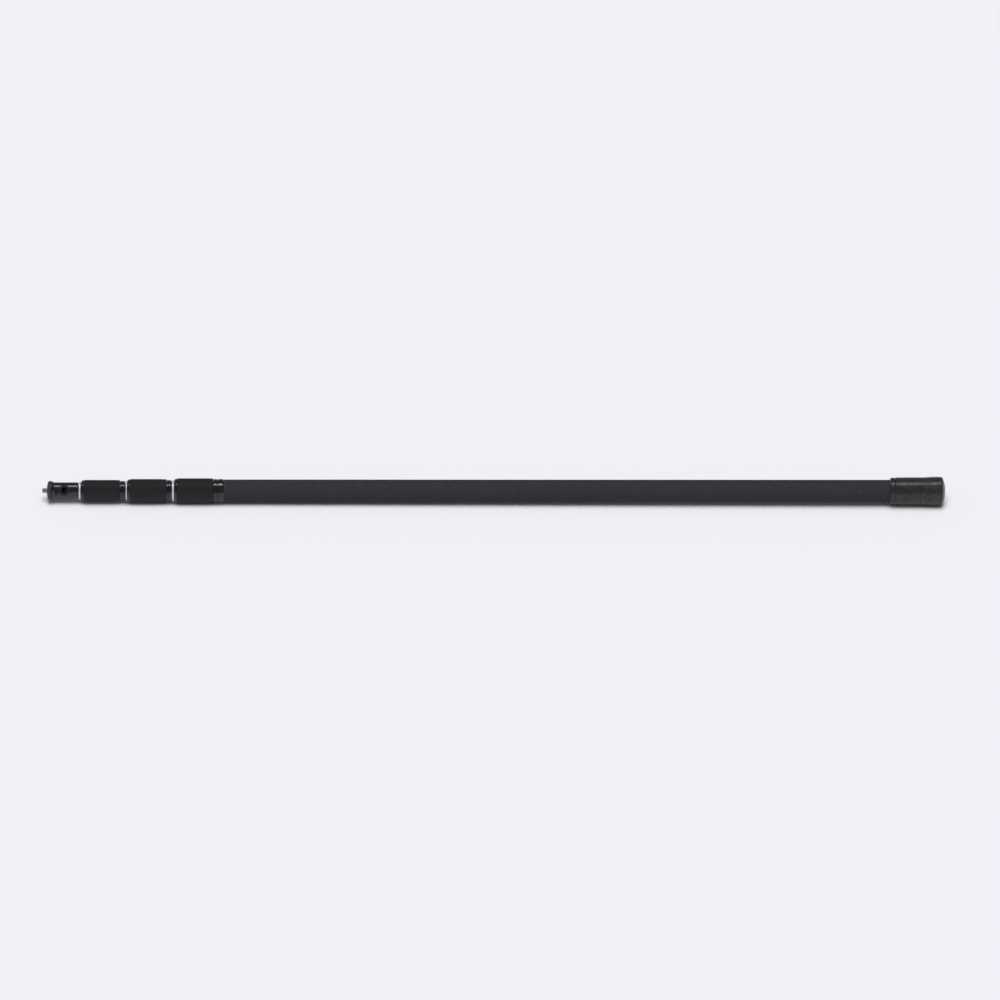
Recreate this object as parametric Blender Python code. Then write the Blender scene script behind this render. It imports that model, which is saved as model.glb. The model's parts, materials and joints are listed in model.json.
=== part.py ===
"""Four-section telescopic extension pole with twist locks, drawn collapsed.

The pole lies along X on its rubber end cap, with the threaded tip at -X and the butt at +X. The origin
is the middle of the length, under the axis, at the height of the surface that the pole lies on. Every
round piece is turned about the pole's axis, with a flat of its facets facing down. Stations are distances
from the stud's free end towards the butt.
"""

import math
from collections import namedtuple

import bmesh
import bpy
from mathutils import Matrix

MM = 0.001
GAP = 0.3 * MM  # between pieces that touch or are bonded
SIDES = 24  # of a turned piece that shows
HIDDEN_SIDES = 20  # of a turned piece inside the pole

# Tubes, from the base section to the tip section
TUBE_RADII = (13.4 * MM, 10.4 * MM, 8.6 * MM, 6.8 * MM)
TUBE_WALLS = (1.2 * MM, 0.9 * MM, 0.9 * MM, 0.9 * MM)
TUBE_BORES = tuple(radius - wall for radius, wall in zip(TUBE_RADII, TUBE_WALLS))

# Head, at the tip
STUD_RADIUS = 3.175 * MM  # 1/4 inch, 20 threads to the inch
STUD_REACH = 5.7 * MM
STUD_LENGTH = 23.6 * MM
FLANGE_RADIUS = 11.6 * MM
SEAT_RADIUS = 5.6 * MM  # of the flat round the stud, in front of the crowned edge
FLANGE_WIDTH = 5.3 * MM
SPIGOT_LENGTH = 8.4 * MM
HEAD_RADIUS = 10.0 * MM
BEAD_RADIUS = 11.3 * MM  # of the swelling on the head's front edge
HEAD_WALL = 1.6 * MM
HEAD_REAR = 43.2 * MM  # station
EXIT_STATION = 26.4 * MM
EXIT_RADIUS = 6.6 * MM
EXIT_TILT = math.radians(32)  # the cable exit faces -Y, turned up by this
THROAT_RADIUS = 3.7 * MM
GROMMET_LIP = 1.2 * MM  # above the head
SCREW_STATION = 17.1 * MM
SCREW_RADIUS = 1.4 * MM
SCREW_TILT = math.radians(13)
SCREW_COUNT = 3
SCREW_SIDES = 12

# Twist locks: lengths are measured from the front face of the nut's shell
LOCK_PLAY = 0.7 * MM  # free length in front of a lock, which the loosened nut moves into
NUT_LENGTH = 46.9 * MM
RUBBER = 0.8 * MM
RUBBER_START = 3.3 * MM
NUT_TO_COLLAR = 0.4 * MM
NOSE_FRONT = 25.0 * MM
COLLET_FRONT = 5.2 * MM
COLLET_REAR = 24.2 * MM
COLLET_SLOT = 1.0 * MM
CONE_FRONT = 4.0 * MM
CONE_LENGTH = 5.0 * MM
CONE_DROP = 1.2 * MM
WIPER_WIDTH = 2.0 * MM
THREAD_PITCH = 1.5 * MM
THREAD_DEPTH = 0.5 * MM
THREAD_RINGS = 3

# Tail of each sliding section
TAIL_SPIGOT = 12.0 * MM
TAIL_FLANGE = 2.0 * MM
GUIDE_WIDTH = 14.0 * MM
GUIDE_SPLIT = math.radians(15)
TAIL_LENGTH = GAP + TAIL_FLANGE + GAP + GUIDE_WIDTH + GAP + TAIL_FLANGE
TAIL_CLEARANCE = 1.0 * MM

# Butt
CAP_LENGTH = 66.0 * MM
CAP_FLOOR = 10.6 * MM
CAP_BODY_RADIUS = 16.5 * MM
CAP_RIM_RADIUS = 17.2 * MM
CAP_FOOT_RADIUS = 5.0 * MM  # of the flat in the middle of the domed end
POLE_LENGTH = 1080.0 * MM
AXIS_HEIGHT = CAP_RIM_RADIUS * math.cos(math.pi / SIDES)

CAP_MOUTH = POLE_LENGTH - CAP_LENGTH
CAP_INSIDE = POLE_LENGTH - CAP_FLOOR
WASHER_WIDTH = 1.5 * MM
WASHER_REAR = CAP_INSIDE - GAP
PLUG_FLANGE = 3.0 * MM
PLUG_REAR = WASHER_REAR - WASHER_WIDTH - GAP
BASE_TUBE_REAR = PLUG_REAR - PLUG_FLANGE - GAP
PLUG_FRONT = BASE_TUBE_REAR - 18 * MM
BUFFER_WIDTH = 3.0 * MM
BUFFER_FRONT = PLUG_FRONT - GAP - BUFFER_WIDTH

Lock = namedtuple(
    "Lock",
    "number nut_radius lip_drop ring_radius ring_width collar_radius collar_width thread_radius rear shell",
)
# rear is the end of the lock body: inside the first tube, and inside its own collar on the thinner ones.
# shell is the station where the nut's shell starts; locks() works it out.
LOCK_SIZES = (
    Lock(1, 14.8 * MM, 1.6 * MM, 12.6 * MM, 2.4 * MM, 14.1 * MM, 11.9 * MM, 12.3 * MM, 74.2 * MM, None),
    Lock(2, 13.9 * MM, 1.7 * MM, 12.0 * MM, 1.5 * MM, 13.0 * MM, 5.6 * MM, 11.5 * MM, 34.0 * MM, None),
    Lock(3, 12.8 * MM, 2.2 * MM, 10.5 * MM, 2.1 * MM, 11.8 * MM, 5.7 * MM, 9.9 * MM, 34.0 * MM, None),
)

# name: (base colour, roughness, metallic)
FINISHES = {
    "matte_black": ((0.036, 0.036, 0.040), 0.55, 0.0),
    "grip_rubber": ((0.018, 0.019, 0.021), 0.60, 0.0),
    "cap_rubber": ((0.040, 0.039, 0.042), 0.55, 0.0),
    "gloss_black": ((0.010, 0.010, 0.012), 0.18, 0.6),
    "satin_black": ((0.045, 0.044, 0.050), 0.45, 0.5),
    "silver": ((0.75, 0.75, 0.77), 0.25, 1.0),
    "steel": ((0.45, 0.44, 0.43), 0.35, 1.0),
    "black_steel": ((0.035, 0.035, 0.037), 0.40, 0.8),
    "anodised_black": ((0.015, 0.015, 0.017), 0.35, 0.5),
    "nylon": ((0.60, 0.59, 0.55), 0.50, 0.0),
    "black_plastic": ((0.020, 0.020, 0.022), 0.50, 0.0),
    "felt": ((0.08, 0.08, 0.08), 0.95, 0.0),
}


def locks():
    """The locks from the butt to the tip, each with the station of its nut's shell."""
    placed = []
    free_end = HEAD_REAR
    for lock in reversed(LOCK_SIZES):
        shell = free_end + LOCK_PLAY + lock.ring_width + GAP
        placed.append(lock._replace(shell=shell))
        free_end = shell + NUT_LENGTH + NUT_TO_COLLAR + lock.collar_width
    return placed[::-1]


def clear_scene():
    for obj in list(bpy.data.objects):
        bpy.data.objects.remove(obj, do_unlink=True)


def finish(name):
    """The material of this name."""
    material = bpy.data.materials.get(name)
    if material is None:
        colour, roughness, metallic = FINISHES[name]
        material = bpy.data.materials.new(name)
        material.use_nodes = True
        shader = material.node_tree.nodes["Principled BSDF"]
        shader.inputs["Base Color"].default_value = (*colour, 1)
        shader.inputs["Roughness"].default_value = roughness
        shader.inputs["Metallic"].default_value = metallic
    return material


def empty(name, parent=None, station=0.0):
    obj = bpy.data.objects.new(name, None)
    bpy.context.scene.collection.objects.link(obj)
    obj.parent = parent
    obj.location.x = station
    return obj


def add_object(name, bm, material, parent, station=0.0):
    """Puts the bmesh in the scene as an object of that name, shaded smooth with sharp edges kept."""
    bmesh.ops.recalc_face_normals(bm, faces=bm.faces[:])
    mesh = bpy.data.meshes.new(name)
    bm.to_mesh(mesh)
    bm.free()
    mesh.shade_smooth()
    mesh.set_sharp_from_angle(angle=math.radians(30))
    obj = bpy.data.objects.new(name, mesh)
    bpy.context.scene.collection.objects.link(obj)
    if material:
        mesh.materials.append(finish(material))
    obj.parent = parent
    obj.location.x = station
    return obj


def turned_mesh(outline, sides, turn=math.tau):
    """A solid of revolution about X. outline lists (x, radius), and may start and end on the axis."""
    bm = bmesh.new()
    half = turn / sides / 2
    across, up = math.sin(half), math.cos(half)
    points = [bm.verts.new((x, -radius * across, radius * up)) for x, radius in outline]
    solid = outline[0][1] == 0 and outline[-1][1] == 0
    whole = turn == math.tau
    if whole:
        pairs = zip(points, points[1:] if solid else points[1:] + points[:1])
        geometry = points + [bm.edges.new(pair) for pair in pairs]
    else:
        face = bm.faces.new(points)
        geometry = [face, *face.edges, *face.verts]
    about = {"axis": (1, 0, 0), "cent": (0, 0, 0), "angle": turn}
    bmesh.ops.spin(bm, geom=geometry, steps=sides, use_merge=whole, **about)
    bmesh.ops.remove_doubles(bm, verts=bm.verts[:], dist=1e-6)
    return bm


def turned(name, outline, material, parent, station=0.0, sides=SIDES):
    return add_object(name, turned_mesh(outline, sides), material, parent, station)


def cutter(name, bm, parent, station=0.0):
    obj = add_object(name, bm, None, parent, station)
    obj.hide_render = True
    obj.display_type = "WIRE"
    return obj


def cut(obj, tool, operation="DIFFERENCE"):
    modifier = obj.modifiers.new(tool.name, "BOOLEAN")
    modifier.operation = operation
    modifier.object = tool
    modifier.solver = "EXACT"


def turned_upright(outline, sides, tilt, station):
    """A turned mesh whose axis leaves the pole's axis at a right angle, facing -Y and turned up by tilt."""
    bm = turned_mesh(outline, sides)
    upright = Matrix.Rotation(-tilt, 4, "X") @ Matrix.Rotation(-math.pi / 2, 4, "Z")
    bmesh.ops.transform(bm, matrix=Matrix.Translation((station, 0, 0)) @ upright, verts=bm.verts[:])
    return bm


def tube(name, index, front, rear, material, parent):
    radius, bore = TUBE_RADII[index], TUBE_BORES[index]
    outline = [(0, bore), (0, radius), (rear - front, radius), (rear - front, bore)]
    return turned(name, outline, material, parent, front)


def lock_body(lock, parent):
    """The ferrule on a tube's front end: a collar that shows, and the threaded nose inside the nut.

    The collar of a thin tube is a socket that the tube goes into; the thickest tube goes over a spigot.
    """
    bore = TUBE_RADII[lock.number] + GAP
    thread = lock.thread_radius
    collar_front = NUT_LENGTH + NUT_TO_COLLAR
    collar_rear = collar_front + lock.collar_width
    spigot = lock.rear > collar_rear
    tube_fit = TUBE_BORES[lock.number - 1] - GAP if spigot else TUBE_RADII[lock.number - 1] + GAP
    edge = 0.6 * MM
    outline = [(NOSE_FRONT, bore), (NOSE_FRONT, thread - THREAD_DEPTH)]
    start = NOSE_FRONT + THREAD_PITCH
    for ring in range(THREAD_RINGS):
        crest = start + 2 * ring * THREAD_PITCH
        outline += [(crest, thread), (crest + THREAD_PITCH / 2, thread)]
        outline += [(crest + THREAD_PITCH, thread - THREAD_DEPTH)]
    outline += [
        (collar_front, thread - THREAD_DEPTH),
        (collar_front, lock.collar_radius - edge / 2),
        (collar_front + edge / 2, lock.collar_radius),
        (collar_rear - edge, lock.collar_radius),
        (collar_rear, lock.collar_radius - edge),
        (collar_rear, tube_fit),
        (lock.rear, tube_fit),
        (lock.rear, bore),
    ]
    return turned(f"lock_body_{lock.number}", outline, "gloss_black", parent, lock.shell)


def collet(lock, parent):
    """The split jaw that the nut's cone closes on the sliding tube."""
    bore = TUBE_RADII[lock.number] + GAP
    radius = lock.thread_radius
    outline = [
        (COLLET_FRONT, bore),
        (COLLET_FRONT, radius - CONE_DROP),
        (COLLET_FRONT + CONE_LENGTH, radius),
        (COLLET_REAR - 2 * MM, radius),
        (COLLET_REAR, radius - THREAD_DEPTH),
        (COLLET_REAR, bore),
    ]
    jaw = turned(f"collet_{lock.number}", outline, "nylon", parent, lock.shell, HIDDEN_SIDES)
    slot_front = COLLET_FRONT - 1 * MM
    slot_rear = COLLET_REAR - 5 * MM
    for turn, direction in enumerate(("upright", "level")):
        bm = bmesh.new()
        bmesh.ops.create_cube(bm, size=1)
        size = Matrix.Diagonal((slot_rear - slot_front, COLLET_SLOT, 3 * radius, 1))
        place = Matrix.Translation(((slot_front + slot_rear) / 2, 0, 0))
        about = Matrix.Rotation(math.radians(41.25 + 90 * turn), 4, "X")
        bmesh.ops.transform(bm, matrix=place @ about @ size, verts=bm.verts[:])
        cut(jaw, cutter(f"slot_{direction}_{lock.number}", bm, parent, lock.shell))
    return jaw


def nut(lock, parent):
    """The twist nut: shell, rubber grip, front ring and wiper, which turn together."""
    tube_radius = TUBE_RADII[lock.number]
    bore = lock.thread_radius + GAP
    tube_hole = tube_radius + 0.5 * MM
    wiper_radius = tube_radius + 1.6 * MM
    under_rubber = lock.nut_radius - RUBBER - GAP
    lip = lock.nut_radius - lock.lip_drop
    wiper_room = WIPER_WIDTH + 2 * GAP
    shell = [
        (0, lip),
        (0.5 * MM, lip + 0.6 * MM),
        (1.6 * MM, lock.nut_radius - 0.5 * MM),
        (RUBBER_START - GAP, lock.nut_radius - 0.25 * MM),
        (RUBBER_START - GAP, under_rubber),
        (NUT_LENGTH, under_rubber),
        (NUT_LENGTH, bore),
        (CONE_FRONT + CONE_LENGTH, bore),
        (CONE_FRONT, bore - CONE_DROP),
        (CONE_FRONT, tube_hole),
        (wiper_room, tube_hole),
        (wiper_room, wiper_radius + GAP),
        (0, wiper_radius + GAP),
    ]
    turned(f"nut_shell_{lock.number}", shell, "gloss_black", parent, lock.shell)

    inside = lock.nut_radius - RUBBER
    rubber_rear = NUT_LENGTH - GAP
    grip = [
        (RUBBER_START, inside),
        (RUBBER_START, lock.nut_radius - 0.3 * MM),
        (RUBBER_START + 0.9 * MM, lock.nut_radius),
        (rubber_rear - 0.8 * MM, lock.nut_radius),
        (rubber_rear, lock.nut_radius - 0.4 * MM),
        (rubber_rear, inside),
    ]
    turned(f"nut_grip_{lock.number}", grip, "grip_rubber", parent, lock.shell)

    ring_rear = -GAP
    ring_front = ring_rear - lock.ring_width
    edge = 0.35 * MM
    ring = [
        (ring_front, tube_hole),
        (ring_front, lock.ring_radius - edge),
        (ring_front + edge, lock.ring_radius),
        (ring_rear - edge, lock.ring_radius),
        (ring_rear, lock.ring_radius - edge),
        (ring_rear, tube_hole),
    ]
    turned(f"front_ring_{lock.number}", ring, "silver", parent, lock.shell)

    wiper = [
        (GAP, tube_radius + GAP),
        (GAP, wiper_radius),
        (GAP + WIPER_WIDTH, wiper_radius),
        (GAP + WIPER_WIDTH, tube_radius + GAP),
    ]
    turned(f"wiper_ring_{lock.number}", wiper, "felt", parent, lock.shell, HIDDEN_SIDES)


def tail(number, tube_rear, guide_parent, parent):
    """The plug in a sliding tube's rear end, and the split guide ring that snaps into its groove."""
    radius = TUBE_RADII[number - 1]
    spigot = TUBE_BORES[number - 1] - GAP
    bore = spigot - 1.5 * MM
    groove = radius - 1.2 * MM
    groove_front = GAP + TAIL_FLANGE
    groove_rear = groove_front + GUIDE_WIDTH + 2 * GAP
    plug = [
        (-TAIL_SPIGOT, bore),
        (-TAIL_SPIGOT, spigot),
        (GAP, spigot),
        (GAP, radius),
        (groove_front, radius),
        (groove_front, groove),
        (groove_rear, groove),
        (groove_rear, radius),
        (TAIL_LENGTH, radius),
        (TAIL_LENGTH, bore),
    ]
    turned(f"tail_plug_{number}", plug, "black_plastic", parent, tube_rear, HIDDEN_SIDES)

    outer = TUBE_BORES[number - 2] - GAP
    inner = groove + GAP
    front = groove_front + GAP
    outline = [(front, inner), (front, outer), (front + GUIDE_WIDTH, outer), (front + GUIDE_WIDTH, inner)]
    ring = turned_mesh(outline, HIDDEN_SIDES, math.tau - GUIDE_SPLIT)
    add_object(f"guide_ring_{number}", ring, "nylon", guide_parent, tube_rear)


def head(parent):
    """The fitting on the tip tube: threaded stud, seat flange, and a body with a cable exit in its side."""
    stud_end = 0.6 * MM
    stud = [
        (0, 0),
        (0, STUD_RADIUS - stud_end),
        (stud_end, STUD_RADIUS),
        (STUD_LENGTH - stud_end, STUD_RADIUS),
        (STUD_LENGTH, STUD_RADIUS - stud_end),
        (STUD_LENGTH, 0),
    ]
    turned("tool_stud", stud, "steel", parent, 0, HIDDEN_SIDES)

    around_stud = STUD_RADIUS + GAP
    spigot = HEAD_RADIUS - HEAD_WALL - GAP
    flange = [
        (0, around_stud),
        (0, SEAT_RADIUS),
        (0.5 * MM, 7.4 * MM),
        (1.1 * MM, 9.7 * MM),
        (1.9 * MM, 10.9 * MM),
        (3.3 * MM, FLANGE_RADIUS - 0.1 * MM),
        (4.8 * MM, FLANGE_RADIUS),
        (FLANGE_WIDTH, FLANGE_RADIUS - 0.1 * MM),
        (FLANGE_WIDTH, spigot),
        (FLANGE_WIDTH + SPIGOT_LENGTH, spigot),
        (FLANGE_WIDTH + SPIGOT_LENGTH, around_stud),
    ]
    turned("head_flange", flange, "satin_black", parent, STUD_REACH)

    body_front = STUD_REACH + FLANGE_WIDTH + GAP
    cavity_rear = EXIT_STATION + EXIT_RADIUS + 0.5 * MM
    cavity = HEAD_RADIUS - HEAD_WALL
    socket = TUBE_RADII[3] + GAP
    edge = 0.5 * MM
    body = [
        (body_front, cavity),
        (body_front, BEAD_RADIUS),
        (body_front + 1.0 * MM, BEAD_RADIUS - 0.1 * MM),
        (body_front + 2.2 * MM, HEAD_RADIUS + 0.3 * MM),
        (body_front + 2.7 * MM, HEAD_RADIUS),
        (HEAD_REAR - edge, HEAD_RADIUS),
        (HEAD_REAR, HEAD_RADIUS - edge),
        (HEAD_REAR, socket),
        (cavity_rear, socket),
        (cavity_rear, cavity),
    ]
    shell = turned("head_body", body, "gloss_black", parent)
    drill = [(0, 0), (0, EXIT_RADIUS), (2 * HEAD_RADIUS, EXIT_RADIUS), (2 * HEAD_RADIUS, 0)]
    cut(shell, cutter("exit_drill", turned_upright(drill, HIDDEN_SIDES, EXIT_TILT, EXIT_STATION), parent))

    grommet_radius = EXIT_RADIUS - GAP
    low, high = 6.8 * MM, 12 * MM
    ring = [
        (low, grommet_radius),
        (low, THROAT_RADIUS + 1.0 * MM),
        (low + 1.2 * MM, THROAT_RADIUS),
        (low + 2.6 * MM, THROAT_RADIUS),
        (HEAD_RADIUS + GROMMET_LIP, THROAT_RADIUS + 1.6 * MM),
        (high, THROAT_RADIUS + 1.6 * MM),
        (high, grommet_radius),
    ]
    grommet = add_object(
        "cable_grommet", turned_upright(ring, HIDDEN_SIDES, EXIT_TILT, EXIT_STATION), "grip_rubber", parent
    )
    skin = HEAD_RADIUS + GROMMET_LIP
    trim = turned_mesh([(0, 0), (0, skin), (HEAD_REAR, skin), (HEAD_REAR, 0)], SIDES)
    cut(grommet, cutter("grommet_trim", trim, parent), "INTERSECT")

    flange_screws(shell, parent)
    jam_nut(parent)


def flange_screws(shell, parent):
    """Grub screws through the head's wall that hold the flange's spigot."""
    seat = HEAD_RADIUS - HEAD_WALL
    for index in range(SCREW_COUNT):
        tilt = SCREW_TILT + index * math.tau / SCREW_COUNT
        inner, outer = seat - MM, HEAD_RADIUS + MM
        hole = [(inner, 0), (inner, SCREW_RADIUS + GAP), (outer, SCREW_RADIUS + GAP), (outer, 0)]
        drill = turned_upright(hole, SCREW_SIDES, tilt, SCREW_STATION)
        cut(shell, cutter(f"screw_drill_{index + 1}", drill, parent))
        outer = HEAD_RADIUS - GAP
        screw = [(seat, 0), (seat, SCREW_RADIUS), (outer, SCREW_RADIUS), (outer, 0)]
        bm = turned_upright(screw, SCREW_SIDES, tilt, SCREW_STATION)
        add_object(f"flange_screw_{index + 1}", bm, "black_steel", parent)


def jam_nut(parent):
    """The hexagon nut that locks the stud behind the flange."""
    front = STUD_REACH + FLANGE_WIDTH + SPIGOT_LENGTH + GAP
    corner, thickness = 6.3 * MM, 3.2 * MM
    hexagon = turned_mesh([(0, 0), (0, corner), (thickness, corner), (thickness, 0)], 6)
    nut_piece = add_object("stud_jam_nut", hexagon, "steel", parent, front)
    hole = STUD_RADIUS + GAP
    bore = turned_mesh([(-MM, 0), (-MM, hole), (thickness + MM, hole), (thickness + MM, 0)], HIDDEN_SIDES)
    cut(nut_piece, cutter("jam_nut_bore", bore, parent, front))


def butt(parent):
    """The base section's rear end: plug, buffer, washer and rubber cap."""
    plug_radius = TUBE_BORES[0] - GAP
    plug = [
        (0, 0),
        (0, plug_radius),
        (BASE_TUBE_REAR + GAP - PLUG_FRONT, plug_radius),
        (BASE_TUBE_REAR + GAP - PLUG_FRONT, TUBE_RADII[0]),
        (PLUG_REAR - PLUG_FRONT, TUBE_RADII[0]),
        (PLUG_REAR - PLUG_FRONT, 0),
    ]
    turned("end_plug", plug, "black_plastic", parent, PLUG_FRONT, HIDDEN_SIDES)

    buffer = [(0, 0), (0, plug_radius), (BUFFER_WIDTH, plug_radius), (BUFFER_WIDTH, 0)]
    turned("buffer_pad", buffer, "cap_rubber", parent, BUFFER_FRONT, HIDDEN_SIDES)

    washer = [(0, 0), (0, TUBE_RADII[0] - GAP), (WASHER_WIDTH, TUBE_RADII[0] - GAP), (WASHER_WIDTH, 0)]
    turned("cap_washer", washer, "steel", parent, WASHER_REAR - WASHER_WIDTH, HIDDEN_SIDES)

    mouth = CAP_BODY_RADIUS - 0.4 * MM
    inside = TUBE_RADII[0] + GAP
    floor = CAP_LENGTH - CAP_FLOOR
    cap = [
        (floor, 0),
        (floor, inside),
        (0, inside),
        (0, inside + 0.6 * MM),
        (0.8 * MM, mouth - 1.0 * MM),
        (2.6 * MM, mouth),
        (5.8 * MM, mouth),
        (6.3 * MM, mouth - 0.4 * MM),
        (7.1 * MM, CAP_BODY_RADIUS),
        (42.4 * MM, CAP_BODY_RADIUS),
        (48.9 * MM, CAP_RIM_RADIUS),
        (59.8 * MM, CAP_RIM_RADIUS),
        (61.8 * MM, CAP_RIM_RADIUS - 0.4 * MM),
        (63.0 * MM, 15.6 * MM),
        (64.5 * MM, 12.0 * MM),
        (65.4 * MM, 8.2 * MM),
        (CAP_LENGTH, CAP_FOOT_RADIUS),
        (CAP_LENGTH, 0),
    ]
    turned("end_cap", cap, "cap_rubber", parent, CAP_MOUTH)


def build():
    clear_scene()
    axis = empty("pole_axis")
    axis.location = (-POLE_LENGTH / 2, 0, AXIS_HEIGHT)
    base = empty("base_section", axis)
    sections = [base] + [empty(f"sliding_section_{number}", axis) for number in (2, 3, 4)]
    pole_locks = locks()

    # Each sliding tube's rear end, from the one that reaches furthest back
    rears = []
    limit = BUFFER_FRONT
    for _ in (2, 3, 4):
        rear = limit - TAIL_CLEARANCE - TAIL_LENGTH
        rears.append(rear)
        limit = rear - TAIL_SPIGOT

    fronts = [lock.shell + lock.rear + GAP for lock in pole_locks]
    fronts[0] = pole_locks[0].shell + NUT_LENGTH + NUT_TO_COLLAR + pole_locks[0].collar_width + GAP
    fronts.append(EXIT_STATION + EXIT_RADIUS + 0.5 * MM + GAP)
    tube("base_tube", 0, fronts[0], BASE_TUBE_REAR, "matte_black", base)
    for number, rear in zip((2, 3, 4), rears):
        section = sections[number - 1]
        tube(f"tube_{number}", number - 1, fronts[number - 1], rear, "anodised_black", section)
        tail(number, rear, empty(f"guide_{number}", axis), section)

    for lock in pole_locks:
        lock_body(lock, sections[lock.number - 1])
        collet(lock, empty(f"collet_travel_{lock.number}", axis))
        nut(lock, empty(f"nut_{lock.number}", axis))

    head(sections[3])
    butt(base)


build()
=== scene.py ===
"""Looks of the four-section telescopic pole: fine turned pieces, and a finish for every CAD node.

Outlines list corners as (station, radius, fillet) in millimetres, and a station is the distance from the
stud's free end towards the butt. Textures are in metres and follow the piece that they are on.
"""

import json
import math

import bmesh
import bpy
from mathutils import Matrix, Quaternion, Vector

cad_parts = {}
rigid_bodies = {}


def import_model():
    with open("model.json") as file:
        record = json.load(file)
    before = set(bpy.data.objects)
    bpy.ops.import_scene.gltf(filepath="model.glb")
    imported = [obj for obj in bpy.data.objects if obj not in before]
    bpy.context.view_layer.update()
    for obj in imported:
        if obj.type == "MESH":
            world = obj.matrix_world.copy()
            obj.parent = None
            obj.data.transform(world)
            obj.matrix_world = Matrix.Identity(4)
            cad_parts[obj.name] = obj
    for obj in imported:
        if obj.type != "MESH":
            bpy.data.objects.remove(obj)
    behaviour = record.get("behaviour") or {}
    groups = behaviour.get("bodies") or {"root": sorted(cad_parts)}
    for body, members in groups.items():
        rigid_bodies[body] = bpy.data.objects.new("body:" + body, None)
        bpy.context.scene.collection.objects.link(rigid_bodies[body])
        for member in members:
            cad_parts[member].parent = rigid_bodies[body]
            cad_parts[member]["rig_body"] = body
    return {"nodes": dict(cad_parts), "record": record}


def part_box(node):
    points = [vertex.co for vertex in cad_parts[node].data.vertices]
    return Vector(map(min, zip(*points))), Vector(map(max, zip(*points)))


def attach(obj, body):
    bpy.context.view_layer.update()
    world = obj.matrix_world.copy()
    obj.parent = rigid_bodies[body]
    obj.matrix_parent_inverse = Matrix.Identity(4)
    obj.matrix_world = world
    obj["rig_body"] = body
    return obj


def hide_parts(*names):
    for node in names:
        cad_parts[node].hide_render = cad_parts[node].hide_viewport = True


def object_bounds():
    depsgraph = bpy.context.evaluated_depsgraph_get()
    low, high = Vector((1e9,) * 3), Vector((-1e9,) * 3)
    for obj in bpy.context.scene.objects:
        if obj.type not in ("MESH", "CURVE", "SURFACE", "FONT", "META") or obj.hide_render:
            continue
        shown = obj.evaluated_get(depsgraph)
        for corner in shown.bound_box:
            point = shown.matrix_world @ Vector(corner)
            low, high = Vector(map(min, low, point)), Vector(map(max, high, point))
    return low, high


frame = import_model()
cad_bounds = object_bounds()

MM = 0.001
STEPS = 96  # round the axis of a turned piece
SLOTS = {part["node"]: part["material_slot"] for part in frame["record"]["subparts"]}

TIP = cad_bounds[0].x
AXIS = (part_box("base_tube")[0].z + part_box("base_tube")[1].z) / 2
ALONG_POLE = Matrix.Translation((TIP, 0, AXIS))

TUBE_RADII = {"base_tube": 13.4, "tube_2": 10.4, "tube_3": 8.6, "tube_4": 6.8}
TUBE_BORES = {"base_tube": 12.2, "tube_2": 9.5, "tube_3": 7.7, "tube_4": 5.9}

# Radii of each lock's nut, front ring, nose thread and collar. "lip" is how far the nut's front edge rises,
# "width" is the collar's, and "seat" is how far behind the nut's front the fixed tube's joint ends.
LOCKS = {
    1: {"nut": 14.8, "ring": 12.6, "thread": 12.3, "collar": 14.1, "lip": 1.6, "width": 11.9, "seat": 74.2},
    2: {"nut": 13.9, "ring": 12.0, "thread": 11.5, "collar": 13.0, "lip": 1.7, "width": 5.6, "seat": 34.0},
    3: {"nut": 12.8, "ring": 10.5, "thread": 9.9, "collar": 11.8, "lip": 2.2, "width": 5.7, "seat": 34.0},
}
COLLAR_START = 47.3  # behind the nut's front

HEAD_RADIUS = 10.0
CAP_RADIUS = 17.15
EXIT_STATION = 26.4
EXIT_TILT = math.radians(32)
SCREW_STATION = 17.1
SCREW_TILT = math.radians(13)
SCREWS = 3


def ends(node):
    """The stations of a CAD node's two ends, in millimetres."""
    low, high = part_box(node)
    return (low.x - TIP) / MM, (high.x - TIP) / MM


def locked_tubes(number):
    """The tube that a lock is fixed to, and the one that slides in it."""
    tubes = list(TUBE_RADII)
    return tubes[number - 1], tubes[number]


# Finishes


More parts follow.
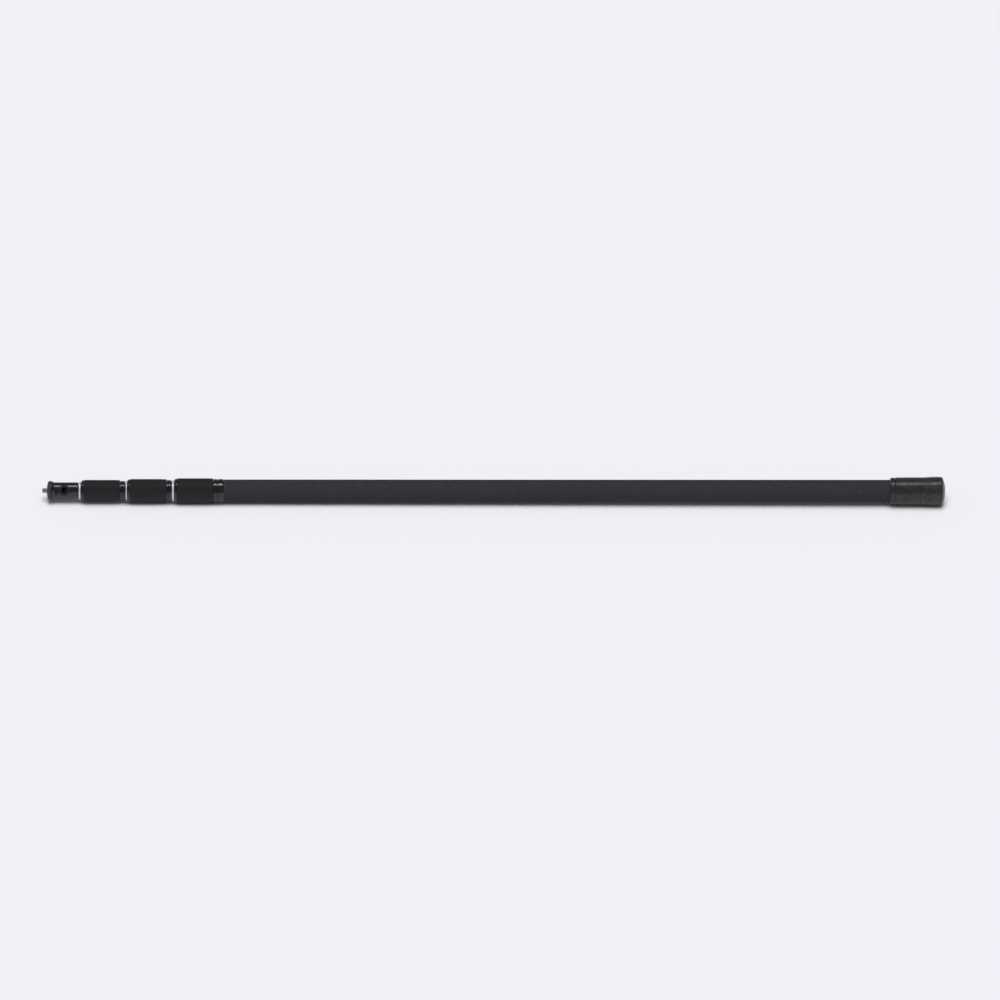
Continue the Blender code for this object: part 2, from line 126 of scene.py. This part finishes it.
class Finish:
    """A material made of procedural nodes. Its textures use the piece's own coordinates, in metres."""

    def __init__(self, name, metallic=0.0, specular=0.5):
        self.material = bpy.data.materials.new(name)
        self.material.use_nodes = True
        self.nodes = self.material.node_tree.nodes
        self.links = self.material.node_tree.links
        self.shader = self.nodes["Principled BSDF"]
        self.place = self.nodes.new("ShaderNodeTexCoord").outputs["Object"]
        self.set(self.shader, {"Metallic": metallic, "Specular IOR Level": specular})

    def set(self, node, values):
        """Gives the node's inputs these values, or links them where a value is another node's output."""
        for key, value in values.items():
            socket = node.inputs[key]
            if isinstance(value, bpy.types.NodeSocket):
                self.links.new(value, socket)
            else:
                socket.default_value = value

    def add(self, kind, values, **settings):
        """A new node of this kind, with these inputs and settings."""
        node = self.nodes.new(kind)
        for key, value in settings.items():
            setattr(node, key, value)
        self.set(node, values)
        return node

    def noise(self, size, detail=2.0, stretch=(1, 1, 1)):
        """Noise from 0 to 1 whose features are about this size, each axis stretched by this much."""
        scale = [1 / (size * each) for each in stretch]
        place = self.add("ShaderNodeMapping", {"Vector": self.place, "Scale": scale}).outputs[0]
        values = {"Vector": place, "Scale": 1.0, "Detail": detail, "Roughness": 0.55}
        return self.add("ShaderNodeTexNoise", values).outputs["Fac"]

    def spread(self, value, low, high, start=0.3, end=0.7):
        """value from start to end, made to run from low to high."""
        values = {"Value": value, "From Min": start, "From Max": end, "To Min": low, "To Max": high}
        return self.add("ShaderNodeMapRange", values).outputs[0]

    def sum(self, *heights):
        """The heights added up, so that two noises run from 0 to 2."""
        total = heights[0]
        for height in heights[1:]:
            total = self.add("ShaderNodeMath", {0: total, 1: height}, operation="ADD").outputs[0]
        return total

    def mix(self, amount, first, second):
        """The two colours mixed; amount 0 is the first."""
        first, second = [(*each, 1) if isinstance(each, tuple) else each for each in (first, second)]
        return self.add("ShaderNodeMix", {0: amount, 6: first, 7: second}, data_type="RGBA").outputs[2]

    def along_pole(self):
        """The coordinate along the pole, in metres."""
        return self.add("ShaderNodeSeparateXYZ", {0: self.place}).outputs["X"]

    def done(self, colour, roughness, height=None, depth=0.0):
        """Connects the surface. height is a value from 0 to 1 that stands depth metres proud."""
        self.set(self.shader, {"Base Color": colour, "Roughness": roughness})
        if height:
            bump = self.add("ShaderNodeBump", {"Height": height, "Distance": depth})
            self.set(self.shader, {"Normal": bump.outputs[0]})
        return self.material


def outer_tube_coat():
    """Matte charcoal coat: fine grain, faint mottling, a few pale specks of lint."""
    finish = Finish("outer_tube_coat", specular=0.08)
    grain = finish.noise(0.35 * MM, 3)
    mottle = finish.noise(5 * MM, 4, (2.2, 1, 1))
    colour = finish.mix(finish.spread(mottle, 0, 1), (0.0265, 0.0260, 0.0290), (0.0345, 0.0338, 0.0375))
    colour = finish.mix(finish.spread(grain, 0, 0.35), colour, (0.050, 0.049, 0.054))
    lint = finish.spread(finish.noise(1.1 * MM, 1), 0, 0.5, 0.73, 0.80)
    colour = finish.mix(lint, colour, (0.16, 0.16, 0.165))
    roughness = finish.spread(mottle, 0.68, 0.78)
    return finish.done(colour, roughness, grain, 0.03 * MM)


def matte_rubber(name, dark, pale):
    """Matte moulded rubber with a fine sandy grain, a little smoother where hands rub it."""
    finish = Finish(name, specular=0.22)
    grain = finish.noise(0.28 * MM, 3)
    cloud = finish.noise(7 * MM, 3)
    colour = finish.mix(finish.spread(cloud, 0, 1), dark, pale)
    colour = finish.mix(finish.spread(grain, 0, 0.3), colour, tuple(2 * each for each in pale))
    return finish.done(colour, finish.spread(cloud, 0.52, 0.68), grain, 0.06 * MM)


def cap_rubber():
    """Moulded rubber with fine mould marks, browner towards the butt, and pale blotches that are partly
    faint scuffs and partly a painted patchy highlight.
    """
    finish = Finish("cap_rubber")
    cloud = finish.noise(9 * MM, 4, (1.5, 1, 1))
    marks = finish.noise(0.25 * MM, 2, (1, 30, 30))
    grain = finish.noise(0.3 * MM, 2)
    scuffs_and_sheen = finish.noise(3.5 * MM, 3, (1.5, 1, 1))
    worn = finish.spread(finish.along_pole(), 0, 1, 0.500, 0.545)
    plain = finish.mix(finish.spread(cloud, 0, 1), (0.0160, 0.0158, 0.0160), (0.0225, 0.0220, 0.0222))
    brown = finish.mix(finish.spread(cloud, 0, 1), (0.0220, 0.0196, 0.0190), (0.0300, 0.0265, 0.0255))
    colour = finish.mix(worn, plain, brown)
    # pale blotches painted into the colour: partly scuffs, partly a painted patchy highlight
    colour = finish.mix(finish.spread(scuffs_and_sheen, 0, 0.12, 0.60, 0.75), colour, (0.11, 0.105, 0.10))
    roughness = finish.spread(cloud, 0.22, 0.34)
    finish.set(finish.shader, {"Specular IOR Level": finish.spread(scuffs_and_sheen, 0.30, 0.50, 0.40, 0.65)})
    return finish.done(colour, roughness, finish.sum(grain, marks), 0.02 * MM)


def gloss_black():
    """Gloss black anodised aluminium, with fine turning marks round it."""
    finish = Finish("gloss_black", specular=0.62)
    marks = finish.noise(0.12 * MM, 2, (1, 60, 60))
    cloud = finish.noise(6 * MM, 3)
    colour = finish.mix(finish.spread(cloud, 0, 1), (0.0040, 0.0040, 0.0048), (0.0075, 0.0075, 0.0086))
    roughness = finish.spread(finish.sum(marks, cloud), 0.12, 0.21, 0.7, 1.3)
    return finish.done(colour, roughness, marks, 0.004 * MM)


def satin_black():
    """Satin black anodised aluminium, turned, a little paler where edges are rubbed."""
    finish = Finish("satin_black", metallic=0.15, specular=0.35)
    marks = finish.noise(0.18 * MM, 2, (1, 50, 50))
    cloud = finish.noise(3 * MM, 3)
    edges = finish.add("ShaderNodeNewGeometry", {}).outputs["Pointiness"]
    colour = finish.mix(finish.spread(cloud, 0, 1), (0.034, 0.033, 0.036), (0.048, 0.047, 0.050))
    colour = finish.mix(finish.spread(edges, 0, 0.5, 0.54, 0.66), colour, (0.20, 0.20, 0.205))
    return finish.done(colour, finish.spread(marks, 0.33, 0.45), marks, 0.008 * MM)


def turned_metal(name, tones, roughness, mark, metallic=1.0):
    """Turned metal with fine turning marks of this width, clouded between two tones."""
    finish = Finish(name, metallic=metallic)
    marks = finish.noise(mark, 2, (1, 50, 50))
    cloud = finish.noise(2.5 * MM, 4)
    colour = finish.mix(finish.spread(cloud, 0, 1), *tones)
    roughness = finish.spread(finish.sum(marks, cloud), *roughness, 0.7, 1.3)
    return finish.done(colour, roughness, marks, 0.006 * MM)


def drawn_tube():
    """Black anodised drawn tube: long fine drawing lines, and faint rings rubbed by the locks."""
    finish = Finish("drawn_tube", specular=0.55)
    lines = finish.noise(0.25 * MM, 2, (400, 1, 1))
    rings = finish.noise(0.8 * MM, 3, (1, 40, 40))
    colour = finish.mix(finish.spread(lines, 0, 1), (0.0150, 0.0150, 0.0165), (0.0230, 0.0230, 0.0250))
    colour = finish.mix(finish.spread(rings, 0, 0.25, 0.60, 0.75), colour, (0.07, 0.07, 0.073))
    return finish.done(colour, finish.spread(lines, 0.27, 0.38), lines, 0.005 * MM)


def moulded(name, tones, roughness):
    """Moulded plastic: a faint flow pattern under a fine spark-eroded texture."""
    finish = Finish(name)
    grain = finish.noise(0.18 * MM, 2)
    flow = finish.noise(4 * MM, 4, (2, 1, 1))
    colour = finish.mix(finish.spread(flow, 0, 1), *tones)
    return finish.done(colour, finish.spread(flow, *roughness), grain, 0.015 * MM)


def dense_felt():
    """Dense felt: short crossed fibres."""
    finish = Finish("dense_felt", specular=0.1)
    fibres = finish.sum(*(finish.noise(0.12 * MM, 3, stretch) for stretch in ((6, 1, 1), (1, 6, 2))))
    colour = finish.mix(finish.spread(fibres, 0, 1, 0.7, 1.3), (0.045, 0.045, 0.046), (0.11, 0.11, 0.112))
    finish.set(finish.shader, {"Sheen Weight": 0.4})
    return finish.done(colour, 0.95, fibres, 0.08 * MM)


ZINC = (0.42, 0.41, 0.40), (0.60, 0.59, 0.57)
SILVER = (0.62, 0.62, 0.64), (0.72, 0.72, 0.74)
BLACK_OXIDE = (0.03, 0.03, 0.032), (0.05, 0.05, 0.053)
BLACK_PLASTIC = (0.014, 0.014, 0.015), (0.022, 0.022, 0.023)
WHITE_PLASTIC = (0.56, 0.55, 0.51), (0.64, 0.63, 0.60)

FINISHES = {
    "outer_tube": outer_tube_coat(),
    "tube": drawn_tube(),
    "cap_rubber": cap_rubber(),
    "inner_plastic": moulded("inner_plastic", BLACK_PLASTIC, (0.45, 0.58)),
    "steel": turned_metal("zinc_steel", ZINC, (0.24, 0.40), 0.10 * MM),
    "gloss_black": gloss_black(),
    "satin_black": satin_black(),
    "silver": turned_metal("silver", SILVER, (0.32, 0.44), 0.15 * MM, metallic=0.5),
    "black_steel": turned_metal("black_steel", BLACK_OXIDE, (0.34, 0.48), 0.10 * MM),
    "grip_rubber": matte_rubber("grip_rubber", (0.0100, 0.0105, 0.0115), (0.0130, 0.0135, 0.0145)),
    "felt": dense_felt(),
    "nylon": moulded("white_acetal", WHITE_PLASTIC, (0.40, 0.52)),
}
GROMMET_RUBBER = matte_rubber("grommet_rubber", (0.0120, 0.0115, 0.0125), (0.0165, 0.0158, 0.0170))


# Shapes


def rounded(corners, steps=4):
    """The closed outline of these (station, radius, fillet) corners, each fillet drawn as an arc."""
    most = 0.48  # of an edge, for the fillet at one of its ends
    outline = []
    for index, (station, radius, fillet) in enumerate(corners):
        corner = Vector((station, radius))
        if not fillet:
            outline.append(corner)
            continue
        back = Vector(corners[index - 1][:2]) - corner
        ahead = Vector(corners[(index + 1) % len(corners)][:2]) - corner
        half = back.angle(ahead) / 2
        reach = min(fillet / math.tan(half), most * back.length, most * ahead.length)
        bend = reach * math.tan(half)
        centre = corner + (back.normalized() + ahead.normalized()).normalized() * bend / math.sin(half)
        first, last = corner + back.normalized() * reach, corner + ahead.normalized() * reach
        for step in range(steps + 1):
            outline.append(centre + (first.lerp(last, step / steps) - centre).normalized() * bend)
    return outline


def turned(outline, steps=STEPS):
    """A solid turned about X from a closed outline, or from one that starts and ends on the axis."""
    bm = bmesh.new()
    angles = [math.tau * (step + 0.5) / steps for step in range(steps)]
    rings = []
    for station, radius in outline:
        if radius > 0:
            around = [(station, radius * math.sin(angle), radius * math.cos(angle)) for angle in angles]
            rings.append([bm.verts.new(Vector(point) * MM) for point in around])
        else:
            rings.append([bm.verts.new((station * MM, 0, 0))] * steps)
    starts_on_axis = outline[0][1] == 0
    for near, far in zip(rings, rings[1:] if starts_on_axis else rings[1:] + rings[:1]):
        for step in range(steps):
            after = (step + 1) % steps
            corners = dict.fromkeys((near[step], near[after], far[after], far[step]))
            if len(corners) > 2:
                bm.faces.new(corners)
    bmesh.ops.recalc_face_normals(bm, faces=bm.faces[:])
    return bm


def plug(start, end, radius):
    """The outline of a plain solid plug."""
    return [(start, 0), (start, radius), (end, radius), (end, 0)]


def outward(station, tilt):
    """Turns X to leave the pole's axis at this station, facing -Y and turned up by tilt."""
    turn = Matrix.Rotation(-tilt, 4, "X") @ Matrix.Rotation(-math.pi / 2, 4, "Z")
    return ALONG_POLE @ Matrix.Translation((station * MM, 0, 0)) @ turn


def placed(bm, matrix=ALONG_POLE):
    """The mesh of the bmesh, moved by the matrix."""
    bmesh.ops.transform(bm, matrix=matrix, verts=bm.verts[:])
    mesh = bpy.data.meshes.new("shape")
    bm.to_mesh(mesh)
    bm.free()
    return mesh


def carved(mesh, cutters):
    """The mesh with the cutters' meshes taken out of it."""
    things = []
    for each in [mesh, *cutters]:
        obj = bpy.data.objects.new("carving", each)
        bpy.context.scene.collection.objects.link(obj)
        things.append(obj)
    for tool in things[1:]:
        modifier = things[0].modifiers.new("carve", "BOOLEAN")
        modifier.object = tool
        modifier.solver = "EXACT"
    graph = bpy.context.evaluated_depsgraph_get()
    result = bpy.data.meshes.new_from_object(things[0].evaluated_get(graph))
    for obj in things:
        bpy.data.objects.remove(obj)
    return result


def add_piece(node, mesh, material=None):
    """Puts the mesh in the scene as the piece that stands for this CAD node."""
    name = f"{node}_finished"
    mesh.name = name
    mesh.materials.clear()
    mesh.materials.append(material or FINISHES[SLOTS[node]])
    mesh.shade_smooth()
    mesh.set_sharp_from_angle(angle=math.radians(38))
    piece = bpy.data.objects.new(name, mesh)
    bpy.context.scene.collection.objects.link(piece)
    normals = piece.modifiers.new("face_weighted_normals", "WEIGHTED_NORMAL")
    normals.keep_sharp = True
    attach(piece, frame["nodes"][node]["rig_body"])
    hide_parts(node)
    return piece


def add_turned(node, corners, steps=4):
    """Adds a piece turned about the pole's axis, with this many steps in each fillet."""
    return add_piece(node, placed(turned(rounded(corners, steps))))


# The head


def add_stud():
    """The steel stud with its right-hand thread, 20 turns to the inch, chamfered at both ends."""
    length = ends("tool_stud")[1]
    pitch, crest, root = 1.27, 3.175, 2.52
    half_crest, flank = 0.06, 0.32  # in pitches, along the stud
    chamfer, slope = 2.35, 0.9
    rows, steps = round(length / pitch * 12), 48

    def radius(station, turn):
        """How far out the stud reaches this far along it, this many turns round."""
        from_crest = abs((station / pitch + turn) % 1 - 0.5)
        depth = min(max((from_crest - half_crest) / flank, 0), 1)
        from_end = min(station, length - station)
        return min(crest + (root - crest) * depth, chamfer + slope * from_end)

    bm = bmesh.new()
    rings = []
    for row in range(rows + 1):
        station = length * row / rows
        ring = []
        for step in range(steps):
            angle = math.tau * step / steps
            out = radius(station, step / steps)
            ring.append(bm.verts.new(Vector((station, out * math.sin(angle), out * math.cos(angle))) * MM))
        rings.append(ring)
    for near, far in zip(rings, rings[1:]):
        for step in range(steps):
            after = (step + 1) % steps
            bm.faces.new((near[step], near[after], far[after], far[step]))
    bm.faces.new(rings[0])
    bm.faces.new(rings[-1])
    bmesh.ops.recalc_face_normals(bm, faces=bm.faces[:])
    add_piece("tool_stud", placed(bm))


def add_flange():
    """The crowned seat flange, with a chamfered hole round the stud and a spigot in the head."""
    front, rear = ends("head_flange")
    hole, rim, spigot = 3.475, 11.6, 8.1
    shoulder = front + 5.3
    corners = [
        (front, hole + 0.5, 0.1),
        (front, 5.8, 0.8),
        (front + 0.5, 7.4, 2.0),
        (front + 1.1, rim - 1.0, 1.2),
        (front + 3.0, rim, 1.5),
        (shoulder, rim, 0.6),
        (shoulder, spigot, 0),
        (rear, spigot, 0.3),
        (rear, hole, 0),
        (front + 0.5, hole, 0),
    ]
    add_turned("head_flange", corners, 5)


def add_head_body():
    """The glossy tube of the head, swollen at its front, with holes for the grommet and the screws."""
    front, rear = ends("head_body")
    cavity, socket = 8.4, 7.1
    cavity_rear = EXIT_STATION + 7.1
    corners = [
        (front, cavity, 0),
        (front, 11.35, 0.5),
        (front + 1.2, 11.2, 0.8),
        (front + 2.6, HEAD_RADIUS, 1.0),
        (rear, HEAD_RADIUS, 0.6),
        (rear, socket, 0.2),
        (cavity_rear, socket, 0),
        (cavity_rear, cavity, 0.8),
    ]
    shell = placed(turned(rounded(corners), 128))
    cutters = [placed(turned(plug(2, 20, 6.36)), outward(EXIT_STATION, EXIT_TILT))]
    hole, sink, past = 1.65, 2.3, HEAD_RADIUS + 0.6
    for tilt in screw_tilts():
        drill = turned([(7, 0), (7, hole), (past - 0.85, hole), (past, sink), (past, 0)], 32)
        cutters.append(placed(drill, outward(SCREW_STATION, tilt)))
    add_piece("head_body", carved(shell, cutters))


def add_grommet():
    """The rubber grommet of the cable exit, saddle-shaped to lie on the head, with a rolled lip."""
    lip, neck, throat = 6.55, 6.3, 3.2
    corners = [
        (-0.05, lip, 0.1),
        (0.85, lip, 0.55),
        (1.10, 5.5, 0.6),
        (0.30, 4.4, 0.6),
        (-1.2, throat, 0.9),
        (-2.3, throat, 0.3),
        (-3.0, throat + 1.0, 0.3),
        (-3.0, neck, 0.2),
        (-0.05, neck, 0),
    ]
    bm = turned(rounded(corners, 5), 72)
    for vert in bm.verts:
        vert.co.x += math.sqrt((HEAD_RADIUS * MM) ** 2 - vert.co.z**2)
    add_piece("cable_grommet", placed(bm, outward(EXIT_STATION, EXIT_TILT)), GROMMET_RUBBER)


def screw_tilts():
    """How far each grub screw is turned up from facing -Y."""
    return [SCREW_TILT + index * math.tau / SCREWS for index in range(SCREWS)]


def add_grub_screws():
    """The grub screws of the flange, each with a hexagon socket."""
    inner, outer, radius = 8.5, 9.65, 1.4
    corners = [(inner, 0, 0), (inner, radius, 0.2), (outer, radius, 0.25), (outer, 0, 0)]
    for number, tilt in enumerate(screw_tilts(), 1):
        place = outward(SCREW_STATION, tilt)
        screw = placed(turned(rounded(corners, 3), 32), place)
        socket = placed(turned(plug(8.75, 10.5, 0.85), 6), place)
        add_piece(f"flange_screw_{number}", carved(screw, [socket]))


# The twist locks


def add_front_ring(number):
    """The bright ring in front of a nut."""
    radius, hole = LOCKS[number]["ring"], TUBE_RADII[locked_tubes(number)[1]] + 0.5
    front, rear = ends(f"front_ring_{number}")
    corners = [(front, hole, 0.15), (front, radius, 0.45), (rear, radius, 0.3), (rear, hole, 0.1)]
    add_turned(f"front_ring_{number}", corners)


def add_nut_shell(number):
    """The nut's metal shell: a glossy lip in front of the rubber, and the cone that closes the collet."""
    size, tube = LOCKS[number], TUBE_RADII[locked_tubes(number)[1]]
    front, rear = ends(f"nut_shell_{number}")
    radius, bore = size["nut"], size["thread"] + 0.3
    lip = radius - size["lip"]
    wiper, hole = tube + 1.9, tube + 0.5
    corners = [
        (front, lip - 0.1, 0.25),
        (front + 0.6, lip + 0.75, 0.45),
        (front + 1.45, radius - 0.34, 0.7),
        (front + 3.0, radius - 0.20, 0.15),
        (front + 3.0, radius - 1.1, 0),
        (rear, radius - 1.1, 0.2),
        (rear, bore, 0.1),
        (front + 9.0, bore, 0),
        (front + 4.0, bore - 1.2, 0),
        (front + 4.0, hole, 0),
        (front + 2.6, hole, 0),
        (front + 2.6, wiper, 0),
        (front, wiper, 0.1),
    ]
    add_turned(f"nut_shell_{number}", corners)


def add_nut_grip(number):
    """The rubber sleeve on a nut, tapered at its front end and softened at its rear end."""
    radius = LOCKS[number]["nut"]
    front, rear = ends(f"nut_grip_{number}")
    inside = radius - 0.8
    corners = [
        (front, inside, 0),
        (front, radius - 0.35, 0.25),
        (front + 2.4, radius, 2.5),
        (rear - 8, radius, 4),
        (rear, radius - 0.25, 0.6),
        (rear, inside, 0),
    ]
    add_turned(f"nut_grip_{number}", corners)


def add_lock_body(number):
    """The ferrule on the front of a tube: a glossy collar that shows, and a threaded nose in the nut."""
    size = LOCKS[number]
    fixed, sliding = locked_tubes(number)
    front = ends(f"lock_body_{number}")[0]
    nut_front = ends(f"nut_shell_{number}")[0]
    start = nut_front + COLLAR_START
    stop = start + size["width"]
    bore, collar = TUBE_RADII[sliding] + 0.3, size["collar"]
    thread, root = size["thread"], size["thread"] - 0.5
    corners = [(front, bore, 0.1), (front, root, 0.2)]
    for turn in range(3):
        crest = front + 1.5 + 3 * turn
        corners += [(crest, thread, 0.1), (crest + 0.75, thread, 0.1), (crest + 1.5, root, 0.1)]
    corners += [(start, root, 0), (start, collar, 0.35)]
    if number == 1:
        socket = TUBE_BORES[fixed] - 0.3
        corners += [
            (start + 3.1, collar - 0.10, 0.2),
            (start + 3.3, collar + 0.10, 0.15),
            (start + 3.8, collar + 0.10, 0.15),
            (start + 4.1, collar - 0.75, 0.15),
            (start + 5.0, collar - 0.75, 0.15),
            (start + 5.3, collar, 0.25),
            (stop - 1.3, collar, 0.2),
            (stop, collar - 0.75, 0.15),
            (stop, socket, 0),
        ]
    else:
        socket = TUBE_RADII[fixed] + 0.3
        corners += [
            (start + 2.1, collar, 0.15),
            (start + 2.35, collar - 0.4, 0.1),
            (start + 2.75, collar - 0.4, 0.1),
            (start + 3.0, collar, 0.15),
            (stop - 0.9, collar, 0.3),
            (stop, collar - 0.7, 0.2),
            (stop, socket, 0.1),
        ]
    seat = nut_front + size["seat"]
    corners += [(seat, socket, 0), (seat, bore, 0)]
    add_turned(f"lock_body_{number}", corners)


# The tubes and the butt


def add_tube(node):
    """A drawn tube with softened ends."""
    front, rear = ends(node)
    radius, bore = TUBE_RADII[node], TUBE_BORES[node]
    corners = [(front, bore, 0.1), (front, radius, 0.25), (rear, radius, 0.25), (rear, bore, 0.1)]
    add_turned(node, corners)


def add_end_cap():
    """The rubber cap: a rolled mouth with a groove behind it, a long barrel, and a thicker domed end."""
    front, rear = ends("end_cap")
    inside, floor = 13.7, rear - 10.6
    corners = [
        (floor, 0, 0),
        (floor, inside, 0),
        (front + 0.3, inside, 0.2),
        (front, 14.6, 0.5),
        (front + 0.9, 16.05, 1.1),
        (front + 5.6, 16.20, 0.35),
        (front + 6.2, 15.75, 0.3),
        (front + 6.9, 16.40, 0.5),
        (front + 26, 16.50, 12),
        (front + 42.0, 16.55, 6),
        (front + 49.5, CAP_RADIUS, 5),
        (rear - 5.2, CAP_RADIUS, 3.0),
        (rear - 3.3, 16.6, 1.2),
        (rear - 1.4, 12.0, 8),
        (rear, 6.0, 3.5),
        (rear, 0, 0),
    ]
    add_turned("end_cap", corners, 6)


def add_pole():
    """All the turned pieces, and a finish for the CAD nodes that stay."""
    add_stud()
    add_flange()
    add_head_body()
    add_grommet()
    add_grub_screws()
    for number in LOCKS:
        add_front_ring(number)
        add_nut_shell(number)
        add_nut_grip(number)
        add_lock_body(number)
    for node in TUBE_RADII:
        add_tube(node)
    add_end_cap()
    for name, node in frame["nodes"].items():
        if not node.hide_render:
            node.data.materials.clear()
            node.data.materials.append(FINISHES[SLOTS[name]])


# The studio


def add_floor():
    """A wide pale floor that falls a little along the base tube, as the pole lies on a nut and the cap."""
    finish = Finish("studio_floor", specular=0.2)
    bm = bmesh.new()
    nut_rest, cap_rest = LOCKS[1]["nut"], CAP_RADIUS + 0.05
    far = 40000
    profile = [
        (-far, nut_rest),
        (ends("nut_grip_1")[0], nut_rest),
        (ends("end_cap")[1] - 5, cap_rest),
        (far, cap_rest),
    ]
    sides = []
    for side in (-far, far):
        sides.append([bm.verts.new(Vector((station, side, -drop)) * MM) for station, drop in profile])
    front, back = sides
    for index in range(len(profile) - 1):
        bm.faces.new((front[index], front[index + 1], back[index + 1], back[index]))
    mesh = placed(bm)
    mesh.materials.append(finish.done((0.888, 0.888, 0.888, 1), 0.9))
    floor = bpy.data.objects.new("studio_floor", mesh)
    bpy.context.scene.collection.objects.link(floor)


def add_sun(name, energy, width, lean, in_reflections):
    """A wide soft light from above, its beam leaning to the back by lean. Angles are in degrees."""
    sun = bpy.data.lights.new(name, "SUN")
    sun.energy = energy
    sun.color = (1.0, 0.989, 1.026)
    sun.angle = math.radians(width)
    lamp = bpy.data.objects.new(name, sun)
    lamp.rotation_euler.x = math.radians(lean)
    lamp.visible_glossy = in_reflections
    bpy.context.scene.collection.objects.link(lamp)


def add_light():
    """A softbox overhead and a fill from the front, in a dim studio that is pale at the horizon."""
    add_sun("overhead_softbox", 0.50, 20, -4, True)
    add_sun("front_fill", 2.14, 38, 20, False)

    world = bpy.data.worlds.new("studio")
    world.use_nodes = True
    nodes, links = world.node_tree.nodes, world.node_tree.links
    place = nodes.new("ShaderNodeTexCoord")
    split = nodes.new("ShaderNodeSeparateXYZ")
    ramp = nodes.new("ShaderNodeValToRGB")
    horizon, sky = ramp.color_ramp.elements
    horizon.position, horizon.color = 0.02, (0.86, 0.85, 0.92, 1)
    sky.position, sky.color = 0.22, (0.200, 0.198, 0.214, 1)
    links.new(place.outputs["Generated"], split.inputs[0])
    links.new(split.outputs["Z"], ramp.inputs[0])
    links.new(ramp.outputs[0], nodes["Background"].inputs[0])
    bpy.context.scene.world = world
    bpy.context.scene.view_settings.view_transform = "Standard"


def add_camera():
    """Looks square on at the pole from far off, 30 degrees above the floor."""
    elevation, distance, roll = math.radians(30), 13.293, 0.00055
    target = Vector((0.0076, -0.0055, 0.0076))
    back = Vector((0, -math.cos(elevation), math.sin(elevation)))
    data = bpy.data.cameras.new("camera")
    data.lens = 400
    data.sensor_width = 36
    camera = bpy.data.objects.new("camera", data)
    camera.location = target + back * distance
    level = (-back).to_track_quat("-Z", "Y")
    camera.rotation_euler = (level @ Quaternion((0, 0, 1), roll)).to_euler()
    bpy.context.scene.collection.objects.link(camera)
    bpy.context.scene.camera = camera


add_pole()
add_floor()
add_light()
add_camera()
